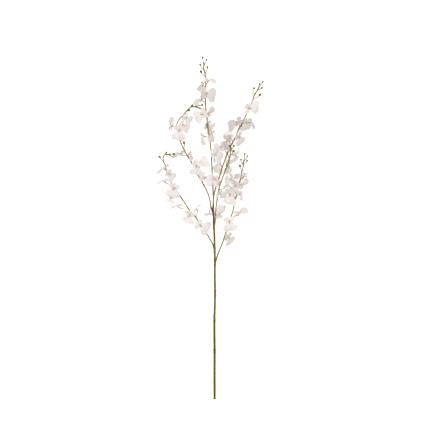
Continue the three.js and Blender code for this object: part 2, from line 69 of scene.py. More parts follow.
BRANCHES = {
    "top": {
        "green": 0.12,
        "way": [(-0.5, 550, 37.5), (0.4, 565, 38.6), (0.9, 579, 39.5), (0, 610, 40), (-2, 650, 41),
                (-4, 690, 42), (-6, 726, 42.5), (-12, 772, 43), (-16, 799, 43.5), (-18, 823, 44),
                (-21, 847, 44), (-22, 871, 44.5), (-24, 892, 45), (-21, 914, 45.5), (-21, 931, 46),
                (-23, 945, 46.5), (-27, 964, 47.5), (-25, 979, 48.5)],
        "blooms": [(-8, 925, 60, 85, 26, 0, 0.86), (-35, 910, 40, 140, 28, 230, 0.75),
                   (-13.5, 886, 58, 20, 70, -10, 1.08), (-40, 868, 52.5, 120, 30, 218, 0.9),
                   (-7, 835, 51.5, -45, 32, 62, 0.76), (-36, 825, 56, 180, 65, 205, 1.02),
                   (-11, 793, 22, -30, -40, -35, 1.02), (-30, 758, 43, 180, 22, -85, 0.9),
                   (-3, 765, 45, 0, 32, -90, 0.86), (10, 708, 50, 20, 55, -25, 0.98),
                   (10, 635, 50, 20, 50, -60, 0.7)],
        "buds": [(-30, 992, 50, 7.3), (-19, 985, 51, 6.8), (-37, 971, 46, 7.3), (-16, 964, 50, 7.8),
                 (-35, 951, 48, 9.3)],
    },
    "upper_right": {
        "green": 0.35,
        "way": [(0.8, 536, 36), (1.4, 560, 33), (1, 580, 32), (4.4, 603, 31), (11, 625, 30.5),
                (19, 648, 30), (22, 658, 30), (28, 678, 30), (37, 702, 29.5), (45, 724, 29),
                (48, 731, 29), (58, 748, 28), (67, 767, 27), (74, 784, 26.5), (83, 800, 26.5),
                (94, 823, 27), (104, 842, 27.5), (115, 869, 28.5), (120, 884, 29.5),
                (130, 900, 31), (136, 910, 32)],
        "blooms": [(112, 847, 42, -60, 60, -2, 1.05), (64, 803, 36, 120, 45, 195, 1.06),
                   (96, 799, 37, -40, 45, -75, 0.95), (113, 803, RESTS, 33, 20, -57, 0.83),
                   (40.5, 745, 50, 200, 40, 235, 1.06), (46, 768, 34, 150, 50, 130, 0.9),
                   (77, 758, 33, -20, 50, -50, 0.92), (19, 731, 36, 170, 50, 190, 0.95),
                   (13, 679, 21, 190, -40, -110, 1.06)],
        "buds": [(144, 922, 34, 7.3), (135, 916, 37, 6.8), (142, 905, 32, 7.3), (119, 904, 33, 7.8),
                 (136, 885, 33, 9.3), (85, 793, 33, 7.8)],
    },
    "upper_left": {
        "green": 0.2,
        "way": [(0.8, 536, 36), (-6, 562, 37), (-9.5, 582, 37.5), (-14.5, 598, 37.5),
                (-29, 627, 37), (-45, 654, 36.5), (-65, 693, 35.5), (-79, 717, 35),
                (-89, 736, 34.5), (-99, 762, 34), (-106, 797, 33.5), (-100, 811, 33.5),
                (-86, 827, 34), (-75, 840, 35), (-67, 847, 35.5), (-60, 850, 36), (-49, 849, 36.5),
                (-39, 849, 37.5)],
        "blooms": [(-122, 801, RESTS, 180, 22, 88, 0.94), (-75, 815, 44, -20, 55, -35, 0.84),
                   (-82, 794, 36, 30, 50, -20, 0.84), (-99, 775, 50, -90, 75, -100, 1.08),
                   (-100, 714, 29, 100, 24, 195, 0.86), (-65, 710, 36, 20, 22, -75, 0.74),
                   (-34, 688, 28, 110, 68, 20, 1.0), (-49, 672, 56, -60, 65, -95, 0.98),
                   (-18, 642, 54, 60, 68, -20, 1.0), (-14, 539, 46, -80, 26, 175, 0.58)],
        "buds": [(-31, 855, 41, 7.3), (-37, 845, 40, 6.8), (-49, 852, 42, 7.3), (-60, 854, 39, 7.8),
                 (-70, 840, 39, 9.3), (-84, 746, 40, 8.8)],
    },
    "lower_left": {
        "green": 0.55,
        "way": [(4.9, 428, 25.5), (-1, 452, 26.5), (-8.4, 466, 26.5), (-17, 480, 26.5),
                (-29, 499, 26.5), (-41, 516, 26.5), (-53, 534, 26.5), (-65, 547, 26.5),
                (-77, 564, 26.5), (-89, 582, 26.5), (-99, 597, 26.5), (-118, 624, 26),
                (-125, 642, 26), (-135, 663, 26), (-139, 682, 26.5), (-143, 691, 27),
                (-144, 706, 28.5), (-139, 712, 30), (-130, 712, 31), (-121, 709, 32)],
        "blooms": [(-145, 670, 44.5, 120, 14, 212, 1.0), (-123, 652, 39, -20, 60, -40, 0.82),
                   (-147, 634, 24, 100, 14, 195, 0.95), (-115, 608, 46, 250, 65, 255, 1.1),
                   (-123, 583, 20, 230, 45, 245, 0.8), (-107, 562, 28, 100, 10, 192, 0.96),
                   (-46, 557, 30, 147, 18, 57, 0.75), (-70, 530, 38, 230, 60, 250, 0.98),
                   (-31, 503, 44, -40, 68, -30, 1.1)],
        "buds": [(-155, 705, 32, 9.3), (-135, 718, 34, 7.3), (-126, 712, 37, 7.3),
                 (-114, 714, 34, 6.8), (-115, 704, 33, 6.8)],
    },
    "lower_right": {
        "green": 0.9,
        "way": [(5.3, 391, 22), (12, 416, 23), (17, 430, 23.5), (29, 460, 24.5), (36, 482, 25),
                (41, 496, 25.3), (50, 523, 25.8), (58, 550, 26.2), (65, 581, 26.8), (70, 605, 27.2),
                (72, 617, 27.5), (78, 635, 28), (82, 650, 28.5), (84, 662, 29), (87, 675, 29.5),
                (88, 689, 30.5), (92, 703, 31.5)],
        "blooms": [(81, 650, 45, 90, 26, 185, 0.92), (89, 627, 30, -50, 30, 40, 0.84),
                   (48, 637, 33, 170, 45, 190, 0.96), (64, 616, 38, 200, 60, -110, 0.9),
                   (49, 589, 34, 200, 60, -100, 1.08), (82, 592, 25, 10, 26, -95, 0.64),
                   (81, 546, 31.5, 115, 30, 28, 0.98), (48, 511, 41, -80, 70, -80, 1.1),
                   (47, 467, 26, -30, 42, -45, 1.0)],
        "buds": [(92, 714, 34, 7.3), (100, 707, 31, 6.8), (81, 697, 32, 6.8), (99, 694, 33, 7.3),
                 (78, 679, 32, 9.3)],
    },
    "middle": {
        "green": 0.45,
        "way": [(2.6, 498, 32), (6.4, 519, 35.5), (7.3, 539, 38.5), (10.4, 569, 42), (13, 590, 44.5),
                (16, 604, 46), (18, 615, 47), (24, 634, 49), (30, 651, 50.5), (34, 661, 51.5),
                (41, 678, 53), (48, 702, 55.5), (51, 722, 58), (52, 732, 62), (51, 737, 67)],
        "blooms": [(64, 705, 59.5, -30, 35, -60, 0.86), (44, 676, 38, 0, -35, -95, 1.02),
                   (39, 619, 49, 100, 20, 10, 0.58), (25, 597, 50, -60, 40, -40, 0.9),
                   (21, 545, 52, -30, 40, 85, 1.0)],
        "buds": [(48, 735, 75, 7.8), (60, 736, 73, 7.8), (59, 721, 68, 8.8), (42, 716, 64, 6.8)],
    },
}

# How much more mauve grey a bloom is painted than its direction alone gives, and which; below zero,
# less.
BLOOM_DUSK_SHIFTS = {
    0.6: {"top_2", "upper_right_2"},
    0.35: {"top_3", "top_4", "upper_right_5", "upper_left_1", "upper_left_5", "lower_right_1"},
    0.2: {"top_7", "upper_right_3", "upper_right_4", "upper_right_7", "upper_right_8", "lower_right_4",
          "lower_right_9", "lower_left_1"},
    -0.25: {"top_9", "top_10", "upper_right_9", "upper_left_2", "upper_left_3", "upper_left_6",
            "upper_left_8", "upper_left_10", "lower_left_3", "lower_left_6", "lower_left_7",
            "lower_left_9", "lower_right_8", "middle_2", "middle_3", "middle_4", "middle_5"},
}

# The main stem, its sheaths and its cut face, in the same millimetres.
STEM_WAY = [(0, 4.6), (80, 4.4), (136, 4.6), (229, 4), (302, 5.8), (370, 5.2), (406, 5.4), (441, 4.6),
            (478, 4.1), (513, 2), (545, 0.6), (554, -1.2)]  # (along, across)
STEM_REST = 80  # this much of the cut end lies flat
STEM_RISE = 35  # from there its axis climbs this much to its top
STEM_RISE_POWER = 1.4
STEM_AXIS = 3.38  # height of its axis where it lies flat
STEM_SIDES = 32
JOINTS = [136, 229, 302, 392, 430, 498, 540]
JOINT_REACH = 3.4
GROOVE_ABOVE = 1.6  # from a joint up to the fine groove round the stem
GROOVE_REACH = 0.45
GROOVE_DEPTH = 0.22
SHOULDER = 1.6  # the stem's top is rounded over this length
SHEATH_ABOVE = 1.8  # from a joint up to the root of its sheath
SHEATH_THICKNESS = 0.22
SHEATH_TURN = 137  # degrees round the stem from one sheath to the next
BLUSH_AT = 555  # the reddish joint where the stem ends and the top branch goes on
BLUSH_REACH = 13

# One bloom of size 1, in millimetres, in its own axes: x right, y up, z to the front. A blade's
# rows are (distance from the centre, half width, lift of its middle, lift of its edges).
PETAL_ROWS = [(1.0, 0.8, 0.1, 0.1), (2.2, 1.3, 0.2, 0.2), (10, 7.7, 1.2, 2.4), (17.5, 5.2, 2.9, 3.3)]
TOP_SEPAL_ROWS = [(1.0, 0.8, -0.1, -0.1), (2.2, 1.1, -0.2, -0.2), (8.5, 3.5, -1.2, -0.9),
                  (15.4, 2.2, -0.4, 0)]
SIDE_SEPAL_ROWS = [(1.0, 0.7, -0.3, -0.3), (2.2, 1.0, -0.5, -0.5), (7.5, 3.1, -3, -3),
                   (13.2, 0.7, -5, -5)]
LIP_ROWS = [(1.0, 0.9, 0.2, 0.2), (2.3, 1.6, 0.6, 0.6), (6.5, 9.4, 2.2, 1.8), (13, 17.4, 2.6, 0.2),
            (22, 20.4, 1.6, -2.2), (31.4, 14.6, -1.6, -3.2)]
LIP_NOTCH = 2.5
PETAL_ANGLE = 32  # above the bloom's left and right
SIDE_SEPAL_ANGLE = 40  # below them
# A blade's plan: rows, direction in degrees, counts of its grid, notch, roundness of its end, ruffle.
BLADES = [(LIP_ROWS, -90, (34, 41), LIP_NOTCH, 1.6, 1.0),
          (SIDE_SEPAL_ROWS, -SIDE_SEPAL_ANGLE, (15, 9), 0, 0.6, 0.2),
          (PETAL_ROWS, PETAL_ANGLE, (17, 13), 0, 2.2, 0.45),
          (TOP_SEPAL_ROWS, 90, (15, 11), 0, 1.0, 0.35),
          (PETAL_ROWS, 180 - PETAL_ANGLE, (17, 13), 0, 2.2, 0.45),
          (SIDE_SEPAL_ROWS, 180 + SIDE_SEPAL_ANGLE, (15, 9), 0, 0.6, 0.2)]
EAR = ([(0.5, 0.5, 0, 0), (1.4, 0.8, 0.1, 0.2), (2.3, 0.35, 0.3, 0.4)], 90, (6, 5), 0, 0.3, 0.0)
EAR_TURN = 100  # degrees from its direction to either side of the column
BLADE_LEAN = 3.5  # degrees by which a blade, but not the lip, may lean to either side
BLADE_WAVES = 5  # round the margin of a petal or sepal
MARGIN_REACH = 3.4  # how far in from the margin its waves reach
RIM_REACH = 1.2  # the same for the paler rim
HEART_REACH = 4.9  # how far out from the column the warm heart reaches
PLEATS = 5  # half folds from a blade's middle to its edge
BLOOM_MIDDLE = 8.0  # from the column down to the bloom's middle
COLUMN_BACK = 4  # from the column back to the end of the neck
COLUMN_SIDES = 14
# The warts at the root of the lip: x, y, z and radius.
WARTS = [(0, -3.2, 2.0, 0.95), (1.1, -4.0, 2.35, 0.72), (-1.1, -4.0, 2.35, 0.72),
         (0, -4.9, 2.75, 0.85), (1.3, -5.6, 2.6, 0.6), (-1.3, -5.6, 2.6, 0.6), (0, -6.6, 2.8, 0.6)]
WART_SIDES = 10
REST_HEIGHT = 0.4  # of the lowest corner of a resting bloom's lip
LIES_BELOW = 0.6  # blades lower than this flatten out towards LIES_AT
LIES_AT = 0.2

STALK_BEND = 0.35  # how far a stalk keeps its first and last directions, over its reach
STALK_SLANT = 1.1  # how far down the branch a stalk starts, over how far out it reaches
NEAREST_STALK = 22  # to the branch's root
STALK_OVERLAP = 0.6  # how far a stalk runs into the neck of a bloom of size 1
STALK_SIDES = 10
BUD_STALK_SIDES = 8
BRACT_THICKNESS = 0.2
BRANCH_STEP = 2.0  # between the rings of a branch
BRANCH_SIDES = 14
KNOT_SWELL = 0.3  # how far a branch stands out under a stalk
KNOT_REACH = 2.2
BUD_LEAN = 0.5  # how far a bud turns towards its branch's direction
BUD_SLANT = 1.8  # as STALK_SLANT, for a bud
BUD_RINGS = 18
BUD_SIDES = 18
BUD_ALONG = [0, 0.12, 0.3, 0.55, 0.8, 0.94, 1]
BUD_RADII = [0.11, 0.245, 0.365, 0.415, 0.305, 0.145, 0.04]  # there, over the bud's length
BUD_SUN = (0.2, 0.3, 1.0, 1.0)  # how russet one bud after another is

SHARP_ANGLE = 62  # degrees between two faces at an edge that isn't shaded smooth
FIELD_CENTRE = (5.8, 536.5, 30)  # what the camera looks at, in the plan's millimetres
SENSOR_WIDTH = 36.0
KEY_SPREAD = 50  # degrees, how wide the main light is
KEY_TILT = (-5, -7)  # degrees from straight above


# ---- settings


def length_setting(name, millimetres, description):
    """A size in the scene's metres, given in millimetres."""
    return FloatProperty(name=name, description=description, default=millimetres * MM, min=0.0,
                         subtype="DISTANCE", unit="LENGTH", precision=5)


def colour_setting(name, rgb, description):
    """A colour, given as linear red, green and blue."""
    return FloatVectorProperty(name=name, description=description, default=rgb, size=3, min=0.0,
                               max=1.0, subtype="COLOR")


class BloomSettings(bpy.types.PropertyGroup):
    """Sizes and colours of the blooms."""

    thickness: length_setting("Petal thickness", 0.36, "Thickness of every petal and sepal")
    ruffle: length_setting("Ruffle", 1.15, "Height of the waves along the lip's margin")
    ruffle_waves: IntProperty(name="Ruffle waves", default=9, min=3, max=20,
                              description="Waves round the margin of a lip")
    pleat: length_setting("Pleat", 0.22, "Height of the soft folds that run out along a blade")
    white: colour_setting("White", (0.85, 0.80, 0.775), "Colour of the blades")
    flush: colour_setting("Flush", (0.67, 0.615, 0.60), "Pinkish grey that clouds the blades")
    # Painted shade: this mauve grey is laid on the blooms that look aside, for the shade they stand in.
    shade_and_tone: colour_setting("Dusk", (0.43, 0.375, 0.365), "Mauve grey of the blooms that look aside")
    vein: colour_setting("Vein", (0.50, 0.435, 0.435), "Colour of the fine veins")
    heart: colour_setting("Heart", (0.50, 0.385, 0.20), "Warm beige round the column")
    callus: colour_setting("Callus", (0.50, 0.34, 0.125), "Warts at the root of the lip")
    column: colour_setting("Column", (0.69, 0.59, 0.43), "Column and the neck behind it")


class StemSettings(bpy.types.PropertyGroup):
    """Sizes and colours of the stem, its branches, stalks and bracts."""

    cut_radius: length_setting("Radius at the cut", 3.38, "Radius of the stem at its cut end")
    top_radius: length_setting("Radius at the top", 2.8, "Radius of the stem at the top branch")
    joint_swell: length_setting("Joint swelling", 0.55, "How far a joint stands out")
    branch_root: length_setting("Branch root", 1.98, "Radius of a branch where it leaves the stem")
    branch_tip: length_setting("Branch tip", 1.58, "Radius of a branch among its buds")
    stalk: length_setting("Stalk", 0.88, "Radius of a bloom's stalk")
    sheath_length: length_setting("Sheath", 15.0, "Length of the dry sheath at a joint")
    bract_length: length_setting("Bract", 3.6, "Length of the small bract under a stalk")
    olive: colour_setting("Olive", (0.100, 0.069, 0.004), "Skin of the stem")
    bronze: colour_setting("Bronze", (0.060, 0.035, 0.004), "Darker streaks of the stem")
    gold: colour_setting("Gold", (0.268, 0.186, 0.034), "Skin of the branches")
    lime: colour_setting("Lime", (0.26, 0.226, 0.030), "Skin of the greener branches")
    blush: colour_setting("Blush", (0.07, 0.022, 0.013), "Reddish brown of the uppermost joint")
    paper: colour_setting("Paper", (0.22, 0.16, 0.065), "Dry sheaths and bracts")
    pith: colour_setting("Pith", (0.52, 0.47, 0.26), "Inside of the stem at the cut")


class BudSettings(bpy.types.PropertyGroup):
    """Sizes and colours of the buds."""

    ridge: FloatProperty(name="Ridge", default=0.06, min=0.0, max=0.3, subtype="FACTOR",
                         description="Depth of the seams of a bud, as a share of its radius")
    olive: colour_setting("Olive", (0.112, 0.074, 0.013), "Skin of a bud")
    lime: colour_setting("Lime", (0.24, 0.212, 0.048), "Skin of a greener bud")
    russet: colour_setting("Russet", (0.19, 0.065, 0.012), "Sunned side of a bud")


class StageSettings(bpy.types.PropertyGroup):
    """The camera, the floor and the light."""

    lens: FloatProperty(name="Lens", default=200.0, min=20.0, unit="CAMERA",
                        description="Focal length of the camera")
    field: length_setting("Field", 1247.0, "Width of the floor that the camera sees")
    floor_size: length_setting("Floor", 60000.0, "Side of the floor")
    floor: colour_setting("Floor colour", (0.93, 0.93, 0.93), "Colour of the floor")
    glow: FloatProperty(name="Floor glow", default=0.45, min=0.0,
                        description="Light that the lit floor gives off by itself")
    key: FloatProperty(name="Key light", default=2.4, min=0.0, description="Strength of the main light")
    fill: FloatProperty(name="Sky light", default=0.45, min=0.0,
                        description="Strength of the light all round")


# ---- arrays


def unit(v):
    """v divided by its length, along the last axis."""
    return v / np.maximum(np.linalg.norm(v, axis=-1, keepdims=True), 1e-12)


def side_by_side(*values):
    """Values for every point of a grid, one beside the other."""
    return np.stack(np.broadcast_arrays(*values), -1)


def angles(sides):
    """The angles of a ring of points, once round."""
    return np.arange(sides) * 2 * np.pi / sides


def distance_along(path):
    """The distance along a path at each of its points."""
    return np.r_[0, np.cumsum(np.linalg.norm(np.diff(path, axis=0), axis=1))]


def flow(x, xs, ys):
    """A smooth curve through the points (xs, ys) at x: in each span a cubic whose slope at a point
    is the slope of the parabola through that point and its two neighbours."""
    xs, ys, x = np.asarray(xs, float), np.asarray(ys, float), np.asarray(x, float)
    if ys.ndim == 1:
        return flow(x, xs, ys[:, None])[..., 0]
    slope = np.gradient(ys, xs, axis=0)
    i = np.clip(np.searchsorted(xs, x, side="right") - 1, 0, len(xs) - 2)
    h = (xs[i + 1] - xs[i])[..., None]
    t = (x[..., None] - xs[i][..., None]) / h
    return ((1 + 2 * t) * (1 - t) ** 2 * ys[i] + t * (1 - t) ** 2 * h * slope[i]
            + t * t * (3 - 2 * t) * ys[i + 1] + t * t * (t - 1) * h * slope[i + 1])


def path_through(points, step):
    """A smooth path through points, sampled about every step, and the distance along it."""
    points = np.asarray(points, float)
    knots = distance_along(points)
    count = int(knots[-1] / step) + 2
    path = flow(np.linspace(0, knots[-1], count), knots, points)
    return path, distance_along(path)


def bell(x, middle, reach):
    """1 at middle and falling off on both sides: exp of minus the square of the distance over reach."""
    return np.exp(-(((x - middle) / reach) ** 2))


def turns_of(path):
    """Three directions at each point of a path: ahead along it, side square to ahead and to the
    axis that the path follows least, and over = ahead x side."""
    ahead = unit(np.gradient(path, axis=0))
    spare = np.eye(3)[np.abs(ahead).max(axis=0).argmin()]
    side = unit(np.cross(ahead, spare))
    return ahead, side, np.cross(ahead, side)


def quads_of(rows, columns, wrap=False):
    """The quads of a grid of points, row after row. With wrap its last column joins its first."""
    i = np.arange(rows - 1)[:, None] * columns
    j = np.arange(columns if wrap else columns - 1)[None, :]
    k = (j + 1) % columns
    return np.stack([i + j, i + k, i + columns + k, i + columns + j], axis=-1).reshape(-1, 4)


def tube(path, radius, sides, finish=0, marks=None, stretch=1.0):
    """A round profile carried along a path: point(i, a) = path(i) + radius(i, a) (cos a side + sin a
    over), with a point in the middle of each end closing it. Its texture place is the share of the
    turn, and the distance along it times stretch. A mark has a value for each ring or point.

    Like every shape it has points, faces as pairs of corner numbers and their texture places, the
    number of its finish, and marks with a value for each point.
    """
    rings = len(path)
    _, side, over = turns_of(path)
    radius = np.broadcast_to(np.asarray(radius, float).reshape(rings, -1), (rings, sides))
    angle = angles(sides)
    grid = path[:, None] + radius[..., None] * (np.cos(angle)[None, :, None] * side[:, None]
                                                + np.sin(angle)[None, :, None] * over[:, None])
    points = np.concatenate([grid.reshape(-1, 3), path[:1], path[-1:]])
    along = distance_along(path) * stretch
    places = side_by_side(np.linspace(0, 1, sides + 1)[None, :], along[:, None])
    quad_uv = places.reshape(-1, 2)[quads_of(rings, sides + 1)]
    k = np.arange(sides)
    ahead = (k + 1) % sides
    last = (rings - 1) * sides
    fans = np.concatenate([side_by_side(rings * sides, ahead, k),
                           side_by_side(rings * sides + 1, last + k, last + ahead)])
    fan_u = side_by_side((k + 0.5) / sides, (k + 1) / sides, k / sides)
    fan_uv = np.concatenate([side_by_side(fan_u, along[0]),
                             side_by_side(fan_u[:, [0, 2, 1]], along[-1])])
    spread = {}
    for name, value in (marks or {}).items():
        value = np.broadcast_to(value if np.ndim(value) == 2 else value[:, None], (rings, sides))
        spread[name] = np.r_[value.ravel(), value[0, 0], value[-1, -1]]
    faces = [(quads_of(rings, sides, True), quad_uv), (fans, fan_uv)]
    return {"points": points, "faces": faces, "finish": finish, "marks": spread}


def thin_sheet(middle, places, thickness, finish=0, **marks):
    """A thin closed sheet about a grid of points: the grid moved half the thickness along its
    normals to either side, and a rim that joins the two."""
    rows, columns = middle.shape[:2]
    normal = unit(np.cross(np.gradient(middle, axis=0), np.gradient(middle, axis=1)))
    points = np.concatenate([(middle + normal * thickness / 2).reshape(-1, 3),
                             (middle - normal * thickness / 2).reshape(-1, 3)])
    number = np.arange(rows * columns).reshape(rows, columns)
    loop = np.concatenate([number[:-1, 0], number[-1, :-1], number[:0:-1, -1], number[0, :0:-1]])
    ahead = np.roll(loop, -1)
    back = rows * columns
    under = quads_of(rows, columns)
    rim = np.stack([loop, loop + back, ahead + back, ahead], -1)
    quads = np.concatenate([under[:, ::-1], under + back, rim])
    places = np.tile(places.reshape(-1, 2), (2, 1))
    both = {name: np.tile(value.ravel(), 2) for name, value in marks.items()}
    return {"points": points, "faces": [(quads, places[quads])], "finish": finish, "marks": both}


def placed(shape, turn, centre):
    """A shape turned by the rows of turn and moved to centre."""
    return {**shape, "points": shape["points"] @ turn + centre}


def make_piece(name, shapes, finishes, stands_for=()):
    """Puts shapes, in the plan's millimetres, into one mesh with its finishes and marks, and sets it
    on the frame in place of the nodes that it stands for. A mark is 0 on shapes that don't have it."""
    starts = np.cumsum([0] + [len(s["points"]) for s in shapes])
    points = np.concatenate([s["points"] for s in shapes]) * MM + PLAN_ZERO
    corners, uvs, counts, finish = [], [], [], []
    for start, s in zip(starts, shapes):
        for faces, places in s["faces"]:
            corners.append(faces.ravel() + start)
            uvs.append(places.reshape(-1, 2))
            counts.append(np.full(len(faces), faces.shape[1]))
            finish.append(np.full(len(faces), s["finish"]))
    corners, uvs, counts, finish = map(np.concatenate, (corners, uvs, counts, finish))
    mesh = bpy.data.meshes.new(name)
    mesh.vertices.add(len(points))
    mesh.vertices.foreach_set("co", points.astype(np.float32).ravel())
    mesh.loops.add(len(corners))
    mesh.loops.foreach_set("vertex_index", corners.astype(np.int32))
    mesh.polygons.add(len(counts))
    mesh.polygons.foreach_set("loop_start", np.r_[0, np.cumsum(counts)[:-1]].astype(np.int32))
    mesh.polygons.foreach_set("material_index", finish.astype(np.int32))
    mesh.polygons.foreach_set("use_smooth", np.ones(len(counts), bool))
    mesh.update(calc_edges=True)
    mesh.uv_layers.new(name="UVMap").data.foreach_set("uv", uvs.astype(np.float32).ravel())
    for mark in dict.fromkeys(mark for s in shapes for mark in s["marks"]):
        values = np.concatenate([s["marks"].get(mark, np.zeros(len(s["points"]))) for s in shapes])
        mesh.attributes.new(mark, "FLOAT", "POINT").data.foreach_set("value", values.astype(np.float32))
    mesh.set_sharp_from_angle(angle=math.radians(SHARP_ANGLE))
    if mesh.validate():
        raise RuntimeError(f"{name}: its mesh had faults")
    for material in finishes:
        mesh.materials.append(material)
    piece = bpy.data.objects.new(name, mesh)
    bpy.context.scene.collection.objects.link(piece)
    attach(piece, "root")
    if stands_for:
        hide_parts(*stands_for)


def plan_zero():
    """The plan's zero in metres: level with the frame's cut end, and to the left of that end's
    centre by STEM_WAY's first across."""
    co = np.array([v.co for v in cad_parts["main_stem"].data.vertices])
    end = co[co[:, 1] < co[:, 1].min() + 0.1 * MM]
    centre = (end[:, 0].min() + end[:, 0].max()) / 2
    return np.array([centre - STEM_WAY[0][1] * MM, end[:, 1].min(), 0.0])


PLAN_ZERO = plan_zero()


# ---- materials

# Linear colours of the smallest marks.
FRECKLE = (0.16, 0.055, 0.015)
PALE_GREEN = (0.50, 0.46, 0.20)
SPECK = (0.30, 0.10, 0.06)
SEAM = (0.045, 0.03, 0.008)
FLOOR_GRAIN = (0.85, 0.85, 0.85)


class Shade:
    """A number that varies over a surface. Arithmetic on it adds Math nodes to its material."""

    def __init__(self, surface, socket):
        self.surface = surface
        self.socket = socket

    def math(self, operation, *values, clamp=False):
        """The result of a Math node on values, each a number or a Shade."""
        settings = {"operation": operation, "use_clamp": clamp}
        made = self.surface.node("ShaderNodeMath", settings, dict(enumerate(values)))
        return Shade(self.surface, made.outputs[0])

    def __add__(self, other):
        return self.math("ADD", self, other)

    __radd__ = __add__

    def __sub__(self, other):
        return self.math("SUBTRACT", self, other)

    def __rsub__(self, other):
        return self.math("SUBTRACT", other, self)

    def __mul__(self, other):
        return self.math("MULTIPLY", self, other)

    __rmul__ = __mul__

    def __pow__(self, other):
        return self.math("POWER", self, other)

    def stripes(self):
        """A sine wave from 0 to 1 and back, once for each whole number."""
        return self.math("SINE", self * (2 * math.pi)) * 0.5 + 0.5

    def held(self):
        """The number kept between 0 and 1."""
        return self.math("ADD", self, 0.0, clamp=True)

    def between(self, low, high):
        """0 below low, 1 above high and an even S-curve from one to the other."""
        made = self.surface.node("ShaderNodeMapRange", {"interpolation_type": "SMOOTHSTEP"},
                                 {0: self, 1: low, 2: high, 3: 0.0, 4: 1.0})
        return Shade(self.surface, made.outputs[0])


class Surface:
    """A material in the making, from its base colour on. Every node in it comes from its node
    method."""

    def __init__(self, name, colour):
        self.colour = (*colour, 1.0)
        self.material = bpy.data.materials.new(name)
        self.material.use_nodes = True
        self.tree = self.material.node_tree
        self.tree.nodes.clear()
        self.object_place = self.node("ShaderNodeTexCoord").outputs["Object"]
        split = self.node("ShaderNodeSeparateXYZ", {}, {0: self.node("ShaderNodeUVMap").outputs[0]})
        self.u, self.v = Shade(self, split.outputs[0]), Shade(self, split.outputs[1])

    def node(self, kind, settings=None, values=None):
        """Adds a node: first its settings, and then the values or links of its sockets."""
        made = self.tree.nodes.new(kind)
        for name, value in (settings or {}).items():
            setattr(made, name, value)
        for key, value in (values or {}).items():
            value = value.socket if isinstance(value, Shade) else value
            if isinstance(value, bpy.types.NodeSocket):
                self.tree.links.new(value, made.inputs[key])
            else:
                made.inputs[key].default_value = value
        return made

    def mark(self, name):
        """A mark of the mesh, such as how near a point is to the bloom's heart."""
        made = self.node("ShaderNodeAttribute", {"attribute_name": name})
        return Shade(self, made.outputs["Fac"])

    def place(self, u_scale, v_scale):
        """The piece's own texture place, stretched."""
        made = self.node("ShaderNodeCombineXYZ", {}, {0: self.u * u_scale, 1: self.v * v_scale})
        return made.outputs[0]

    def noise(self, scale, detail=2.0, place=None, roughness=0.5):
        """Smooth random numbers about 0.5, over the object in metres unless a place is given."""
        made = self.node("ShaderNodeTexNoise", {}, {"Vector": place or self.object_place,
                                                    "Scale": scale, "Detail": detail,
                                                    "Roughness": roughness})
        return Shade(self, made.outputs[0])

    def tint(self, share, colour):
        """Lays a colour over the one so far: not at all where share is 0, and in full where it is 1."""
        values = {0: share, 6: self.colour, 7: (*colour, 1.0)}
        self.colour = self.node("ShaderNodeMix", {"data_type": "RGBA"}, values).outputs[2]

    def finish(self, roughness, height, depth, fixed=None):
        """Ends the material in a Principled shader with fixed values for its other sockets. Height
        times depth, in metres, is its relief."""
        bump = self.node("ShaderNodeBump", {}, {"Strength": 1.0, "Distance": depth, "Height": height})
        values = {"Base Color": self.colour, "Roughness": roughness, "Normal": bump.outputs[0]}
        shader = self.node("ShaderNodeBsdfPrincipled", {}, {**values, **(fixed or {})})
        self.node("ShaderNodeOutputMaterial", {}, {0: shader.outputs[0]})
        return self.material


def petal_finish(look):
    """Thin white petal: clouded pinkish grey, with fine veins that run out along it, a warm heart,
    a faint cellular grain, and mauve grey painted shade on the blooms that look aside."""
    s = Surface("petal_white", look.white)
    wander = s.noise(220.0)
    lines = (s.u * 13.0 + s.v * 0.6 + wander * 0.7).stripes()
    fine = (s.u * 29.0 + wander * 1.1).stripes()
    veins = (lines ** 7.0 + fine ** 9.0 * 0.45).held()
    cloud = s.noise(75.0, 3.0, roughness=0.6)
    grain = s.noise(2600.0)
    heart = s.mark("heart")
    rim = s.mark("rim")
    s.tint((cloud.between(0.32, 0.75) * 0.55 - rim * 0.25 + heart * 0.25).held(), look.flush)
    # Painted shade: blooms that look aside are clouded mauve grey here, as the shade they would be in.
    s.tint((s.mark("shade_and_tone") * (cloud * 0.5 + 0.75)).held(), look.shade_and_tone)
    s.tint((veins * (0.34 - rim * 0.2)).held(), look.vein)
    s.tint(((heart * 1.25 - s.noise(420.0) * 0.35).between(0.12, 0.95) * 0.7).held(), look.heart)
    return s.finish(grain * 0.16 + 0.47, veins * 0.5 + grain * 0.35 + cloud * 0.4, 0.00012,
                    {"Subsurface Weight": 0.12, "Subsurface Scale": 0.0016,
                     "Subsurface Radius": (1.0, 0.72, 0.66), "Specular IOR Level": 0.2})


def callus_finish(look):
    """Warty callus: yellow brown with darker freckles and a waxy gloss."""
    s = Surface("callus_brown", look.callus)
    freckles = s.noise(1300.0, 3.0).between(0.48, 0.62)
    s.tint(freckles * 0.7, FRECKLE)
    return s.finish(0.32 + freckles * 0.15, s.noise(1500.0), 0.00008)


def column_finish(look):
    """Column and neck: cream that greens towards the stalk, with a few reddish specks."""
    s = Surface("column_cream", look.column)
    cloud = s.noise(380.0, 3.0)
    s.tint(cloud.between(0.35, 0.7) * 0.5, PALE_GREEN)
    s.tint(s.noise(1100.0).between(0.62, 0.72) * 0.5, SPECK)
    return s.finish(0.45 + cloud * 0.1, cloud, 0.00006,
                    {"Subsurface Weight": 0.1, "Subsurface Scale": 0.001})


